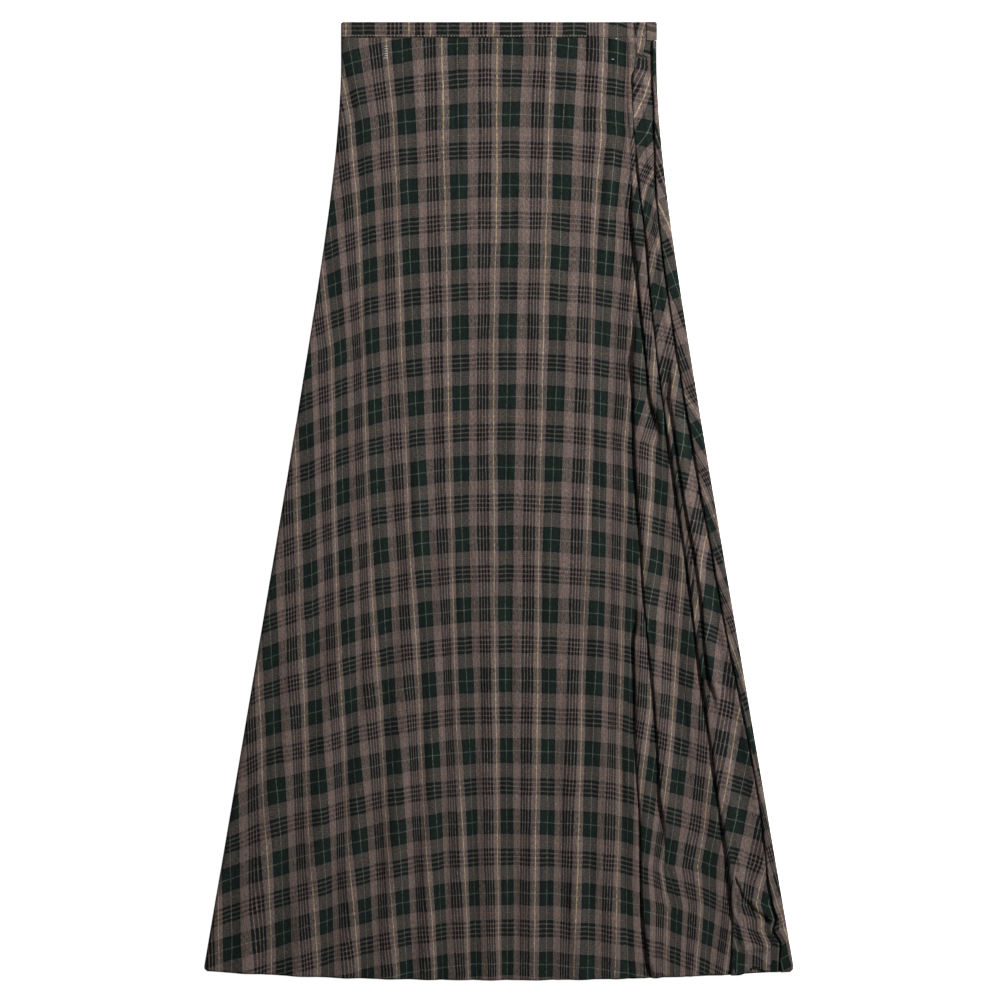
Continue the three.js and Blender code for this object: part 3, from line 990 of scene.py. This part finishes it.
def section_heights():
    """Heights of the rows, closer together below the waistband and over the crumple above the hem."""
    first, last = SEAM + WAIST_ZONE, LENGTH - HEM_ZONE
    heights = [SEAM + WAIST_ZONE * i / WAIST_ROWS for i in range(WAIST_ROWS)]
    heights += [first + (last - first) * i / ROWS for i in range(ROWS)]
    return heights + [last + HEM_ZONE * i / HEM_ROWS for i in range(HEM_ROWS + 1)]


def make_front():
    rows = [front_section(down) for down in section_heights()]
    front = shell_object("skirt_front", rows, SHELL, seed=4.2, crinkled=1.0)
    dress(front, PLAID, "plaid_cloth", "front_panel")
    return front


def make_back():
    rows = []
    for down in section_heights():
        row = back_section(down)
        for point in row:
            point["p"], point["q"] = back_cloth(point, down)
        rows.append(row)
    back = shell_object("skirt_back", rows, SHELL, seed=9.7, crinkled=0.6)
    dress(back, PLAID, "plaid_cloth", "back_panel")
    return back


# Waistband

BAND_STEP = 1.4  # from point to point along the band, and half that where it has folds
BAND_LEVELS = 14
BAND_CORNER = 2
CORNER_REACH = 12
BAND_EDGE = 1.2  # the band's edges are rounded over this much
BAND_EDGE_SHARE = 0.55  # and keep this share of its thickness
BAND_FOLD_FADE = 2.0
BAND_UNEVEN = dict(height=0.12, across=9, down=6, seed=2.0)
BAND_GROOVE = dict(depth=0.18, up=1.3, width=0.8)  # pressed in by the stitches above the lower edge


def corner_cut(from_side, down, radius):
    """How far a rounded top corner moves a point in from the side."""
    if radius <= 0 or down >= radius:
        return 0.0
    inward = radius - math.sqrt(max(0.0, radius * radius - (radius - down) ** 2))
    return inward * clamp01(1 - from_side / CORNER_REACH)


def band_rows(left, right, height, columns, rounds):
    """Rows of points over a band piece as (across, down), with its two top corners rounded."""
    rows = []
    for r in range(BAND_LEVELS + 1):
        down = height * r / BAND_LEVELS
        row = []
        for c in range(columns + 1):
            x = left + (right - left) * c / columns
            cut_left = corner_cut(x - left, down, rounds[0])
            cut_right = corner_cut(right - x, down, rounds[1])
            row.append((x + cut_left - cut_right, down))
        rows.append(row)
    return rows


def band_piece(name, node, left, right, height, floor, thick, cloth_at, rounds=(0, 0), folds=()):
    """A pressed double strip of cloth: flat underneath, with soft edges and a slightly uneven top.

    Where it has folds of its own, as in CREASES, its lower edge runs on into the skirt.
    """
    columns = max(8, round((right - left) / (BAND_STEP / 2 if folds else BAND_STEP)))
    rows = band_rows(left, right, height, columns, rounds)
    top, bottom, cloth = [], [], []
    for x, down in (point for row in rows for point in row):
        from_edge = min(down, x - left, right - x)
        if not folds:
            from_edge = min(from_edge, height - down)
        edge = 1 - (1 - clamp01(from_edge / BAND_EDGE)) ** 2
        place = Vector((x / BAND_UNEVEN["across"], down / BAND_UNEVEN["down"], BAND_UNEVEN["seed"]))
        groove = BAND_GROOVE["depth"] * bump_at(height - down - BAND_GROOVE["up"], BAND_GROOVE["width"])
        crease = BAND_UNEVEN["height"] * noise.noise(place) - groove
        z = floor + thick * (BAND_EDGE_SHARE + (1 - BAND_EDGE_SHARE) * edge) + crease * edge
        z = max(floor + GAP, z + line_relief(folds, x, down, BAND_FOLD_FADE))
        top.append((x * MM, y_at(down) * MM, z * MM))
        bottom.append((x * MM, y_at(down) * MM, floor * MM))
        cloth.append(cloth_at(x, down))
    piece = mesh_object(name, top + bottom, slab_faces(BAND_LEVELS + 1, columns + 1), cloth + cloth)
    dress(piece, BAND_PLAID, "band_cloth", node)


# Folds of the waistband's right front and of its tab, and a dark gap between two of them, across
BAND_GAP = 134.8
BAND_FOLDS = table(
    "start end height width",
    ((134.8, 1.5), (135.2, 12), -2.2, 1.1),
    ((130, 2), (129, 15), 0.5, 2.4),
    ((139, 1), (138, 15), 0.6, 2.6),
    ((144.5, 5), (143, 15), -0.8, 1.3),
)
TAB_FOLDS = table(
    "start end height width",
    ((148, 9), (157, 6.5), -0.7, 1.3),
    ((149, 13), (156, 14), 0.5, 1.8),
)

# Where the band's pieces lie on the cloth: the row at the top edge, and each strip's shift across
BAND_ROW = 26.5 - REPEAT_ALONG
INSIDE_SHIFT = 20
LEFT_SHIFT = 135.6
CENTRE_SHIFT = 51
RUNNING = dict(at=118.5, place=126, spread=1.29, hidden=13, lean=0.36, lean_from=8, lean_fade=6)
TAB = dict(place=36.4, spread=0.55, down=3.5, lean=0.25, row=13.5, row_spread=1.1)


def straight_cloth(shift):
    return lambda x, down: (x + shift, down + BAND_ROW)


def running_cloth(x, down):
    """The check runs on from the skirt to the top edge here, with some cloth hidden at the gap."""
    p = RUNNING["place"] + (x - RUNNING["at"]) * RUNNING["spread"]
    hidden = RUNNING["hidden"] * soft_step(x - BAND_GAP + 0.5)
    beyond_gap = soft_step((x - BAND_GAP) / RUNNING["lean_fade"])
    lean = RUNNING["lean"] * (down - RUNNING["lean_from"]) * beyond_gap
    return p + hidden + lean, along_cloth(down, p)


def tab_cloth(x, down):
    """One dark stripe runs across the top of the tab, and plain taupe below it."""
    across = x - BAND_JOINT_END
    p = TAB["place"] + TAB["spread"] * (down - TAB["down"] - TAB["lean"] * across)
    return p, TAB["row"] + TAB["row_spread"] * across


BAND_THICK = 1.8
TAB_HEIGHT = 18.8
TAB_FLOOR = 3.05
TAB_THICK = 1.9


def make_waistband():
    band_piece("waistband_inside", "waistband_back", -WAIST_HALF, WAIST_HALF, BAND_HEIGHT, 0, BAND_THICK,
               straight_cloth(INSIDE_SHIFT), (BAND_CORNER, BAND_CORNER))
    band_piece("waistband_left", "waistband_front_left", -WAIST_HALF, BAND_JOINT_LEFT - GAP, BAND_HEIGHT,
               BAND_FLOOR, BAND_THICK, straight_cloth(LEFT_SHIFT), (BAND_CORNER, 0))
    band_piece("waistband_centre", "waistband_front_centre", BAND_JOINT_LEFT, BAND_JOINT_RIGHT - GAP,
               BAND_HEIGHT, BAND_FLOOR, BAND_THICK, straight_cloth(CENTRE_SHIFT))
    band_piece("waistband_right", "waistband_front_right", BAND_JOINT_RIGHT, BAND_JOINT_END - GAP,
               BAND_HEIGHT, BAND_FLOOR, BAND_THICK, running_cloth, folds=BAND_FOLDS)
    band_piece("waistband_tab", "waistband_end", BAND_JOINT_END, WAIST_HALF, TAB_HEIGHT,
               TAB_FLOOR, TAB_THICK, tab_cloth, (0, BAND_CORNER), TAB_FOLDS)


# Sewing

STITCH_SIDES = 6
STITCH_ENDS = 0.45  # a stitch is thinner at its ends by this factor
EDGE_STITCH = dict(length=2.0, gap=1.0, uneven=0.15, wander=0.12, sunk=-0.15, raised=0.12, radius=0.28)
STITCH_SEED = 11

# How far the row of stitches is above the band's lower edge, from its side and from a joint, how deep it is
# pressed in, and how much lower the centre's row is
STITCH_ROW = dict(up=1.4, from_side=1.5, from_joint=1, pressed=0.08, lower=0.1)
TACK = dict(radius=0.34, above=0.25, raised=0.45)


def stitch_parts(points, radius):
    """Vertices and faces of one short raised stitch through its points."""
    vertices, faces = [], []
    for i, (x, y, z) in enumerate(points):
        ends = points[max(0, i - 1)], points[min(len(points) - 1, i + 1)]
        run = Vector(ends[1]) - Vector(ends[0])
        side = run.cross(Vector((0, 0, 1))).normalized()
        up = side.cross(run).normalized()
        thin = STITCH_ENDS if i in (0, len(points) - 1) else 1.0
        for k in range(STITCH_SIDES):
            angle = 2 * math.pi * k / STITCH_SIDES
            offset = (side * math.cos(angle) + up * math.sin(angle)) * radius * thin
            vertices.append(Vector((x, y, z)) + offset)
    for i in range(len(points) - 1):
        for k in range(STITCH_SIDES):
            a = i * STITCH_SIDES + k
            b = i * STITCH_SIDES + (k + 1) % STITCH_SIDES
            faces.append((a, b, b + STITCH_SIDES, a + STITCH_SIDES))
    faces.append(tuple(range(STITCH_SIDES - 1, -1, -1)))
    faces.append(tuple(range((len(points) - 1) * STITCH_SIDES, len(points) * STITCH_SIDES)))
    return vertices, faces


def make_stitches(name, stitches, radius, material):
    """One mesh of many stitches. Each stitch is its list of (across, down, height)."""
    vertices, faces = [], []
    for stitch in stitches:
        points = [(x, y_at(down), z) for x, down, z in stitch]
        more, more_faces = stitch_parts(points, radius)
        base = len(vertices)
        vertices += [v * MM for v in more]
        faces += [tuple(base + i for i in face) for face in more_faces]
    piece = mesh_object(name, vertices, faces, [(v[0] / MM, v[1] / MM) for v in vertices])
    dress(piece, material, "thread")


def edge_stitches(left, right, down, level, rng):
    """A row of stitches along the waistband's lower edge."""
    stitches = []
    x = left
    while x < right - EDGE_STITCH["length"]:
        length = EDGE_STITCH["length"] + rng.uniform(-EDGE_STITCH["uneven"], EDGE_STITCH["uneven"])
        at = down + rng.uniform(-EDGE_STITCH["wander"], EDGE_STITCH["wander"])
        low, high = level + EDGE_STITCH["sunk"], level + EDGE_STITCH["raised"]
        stitches.append([(x, at, low), (x + length / 2, at, high), (x + length, at, low)])
        x += length + EDGE_STITCH["gap"]
    return stitches


# Short tacks that close the tucks, and two pale thread ends beside the closing: from and to as
# (across, down)
TACKS = [
    [(-115.5, 24.5), (-111.0, 24.5)],
    [(-115.5, 27.0), (-111.2, 26.8)],
    [(-115.2, 29.4), (-111.0, 29.2)],
    [(-115.4, 31.8), (-111.2, 31.6)],
    [(-115.3, 34.0), (-111.0, 33.8)],
    [(-117.3, 36.3), (-111.0, 35.8)],
    [(111.8, 37.2), (115.6, 37.6)],
    [(115.0, 16.9), (119.2, 17.1)],
    [(142.4, 11.6), (144.2, 14.6)],
    [(155.2, 20.8), (156.6, 24.0)],
]


def tack_stitch(start, end):
    """One tack as three points on the front or the band, with its ends pressed in."""
    middle = ((start[0] + end[0]) / 2, (start[1] + end[1]) / 2)
    points = []
    for (x, down), lift in ((start, 0.0), (middle, TACK["raised"]), (end, 0.0)):
        if down < BAND_HEIGHT:
            level = BAND_FLOOR + BAND_THICK
        else:
            level = FRONT_LEVEL + SHELL / 2 + soft_relief(x, down)
        points.append((x, down, level + TACK["above"] + lift))
    return points


def make_sewing():
    rng = random.Random(STITCH_SEED)
    level = BAND_FLOOR + BAND_THICK - STITCH_ROW["pressed"]
    down = BAND_HEIGHT - STITCH_ROW["up"]
    joint = STITCH_ROW["from_joint"]
    band = edge_stitches(-WAIST_HALF + STITCH_ROW["from_side"], BAND_JOINT_LEFT - joint, down, level, rng)
    lower = down + STITCH_ROW["lower"]
    band += edge_stitches(BAND_JOINT_LEFT + joint, BAND_JOINT_RIGHT - joint, lower, level, rng)
    make_stitches("waistband_edge_stitches", band, EDGE_STITCH["radius"], THREAD)
    make_stitches("tuck_tacks", [tack_stitch(*tack) for tack in TACKS], TACK["radius"], PALE_THREAD)


# Floor, light and camera

PHOTO_CENTRE = (1, 1)  # across and up from the origin
CAMERA_HEIGHT_M = 2.778
CAMERA_LENS = 100
SENSOR_WIDTH = 36
FLOOR_HALF_M = 6.0
FLOOR_WHITE = (0.9, 0.9, 0.9, 1)
FLOOR_GLOW = 0.85
WHITE = (1, 1, 1, 1)
WORLD_STRENGTH = 0.22

# Places in metres
KEY = dict(place=(1.45, 1.0, 1.55), target=(0, 0.1, 0), size=0.3, power=105)
FILL = dict(place=(-1.2, 1.0, 2.4), target=(0, 0, 0), size=1.6, power=5)


def make_floor():
    """A white table that is lit from below, so that no shadow shows on it, as in the photo."""
    half = FLOOR_HALF_M
    corners = [(-half, -half, 0), (half, -half, 0), (half, half, 0), (-half, half, 0)]
    floor = mesh_object("floor", corners, [(0, 1, 2, 3)], [(0, 0)] * 4)
    nodes = Nodes("floor")
    nodes.set_shader(("Base Color", FLOOR_WHITE), ("Roughness", 0.9))
    nodes.set_shader(("Emission Color", WHITE), ("Emission Strength", FLOOR_GLOW))
    floor.data.materials.append(nodes.material)


def area_light(name, place, target, size, power):
    data = bpy.data.lights.new(name, "AREA")
    data.shape = "RECTANGLE"
    data.size = size
    data.size_y = size
    data.energy = power
    light = bpy.data.objects.new(name, data)
    light.location = place
    light.rotation_euler = (Vector(target) - Vector(place)).to_track_quat("-Z", "Y").to_euler()
    bpy.context.scene.collection.objects.link(light)


def make_lights():
    world = bpy.data.worlds.new("studio")
    world.use_nodes = True
    background = world.node_tree.nodes["Background"]
    background.inputs["Color"].default_value = WHITE
    background.inputs["Strength"].default_value = WORLD_STRENGTH
    bpy.context.scene.world = world
    area_light("key", **KEY)
    area_light("fill", **FILL)


def make_camera():
    data = bpy.data.cameras.new("camera")
    data.lens = CAMERA_LENS
    data.sensor_width = SENSOR_WIDTH
    camera = bpy.data.objects.new("camera", data)
    camera.location = (PHOTO_CENTRE[0] * MM, PHOTO_CENTRE[1] * MM, CAMERA_HEIGHT_M + FRONT_LEVEL * MM)
    bpy.context.scene.collection.objects.link(camera)
    bpy.context.scene.camera = camera


bpy.context.scene.view_settings.view_transform = "Standard"

make_camera()
make_lights()
make_floor()
front = make_front()
back = make_back()
make_waistband()
make_sewing()
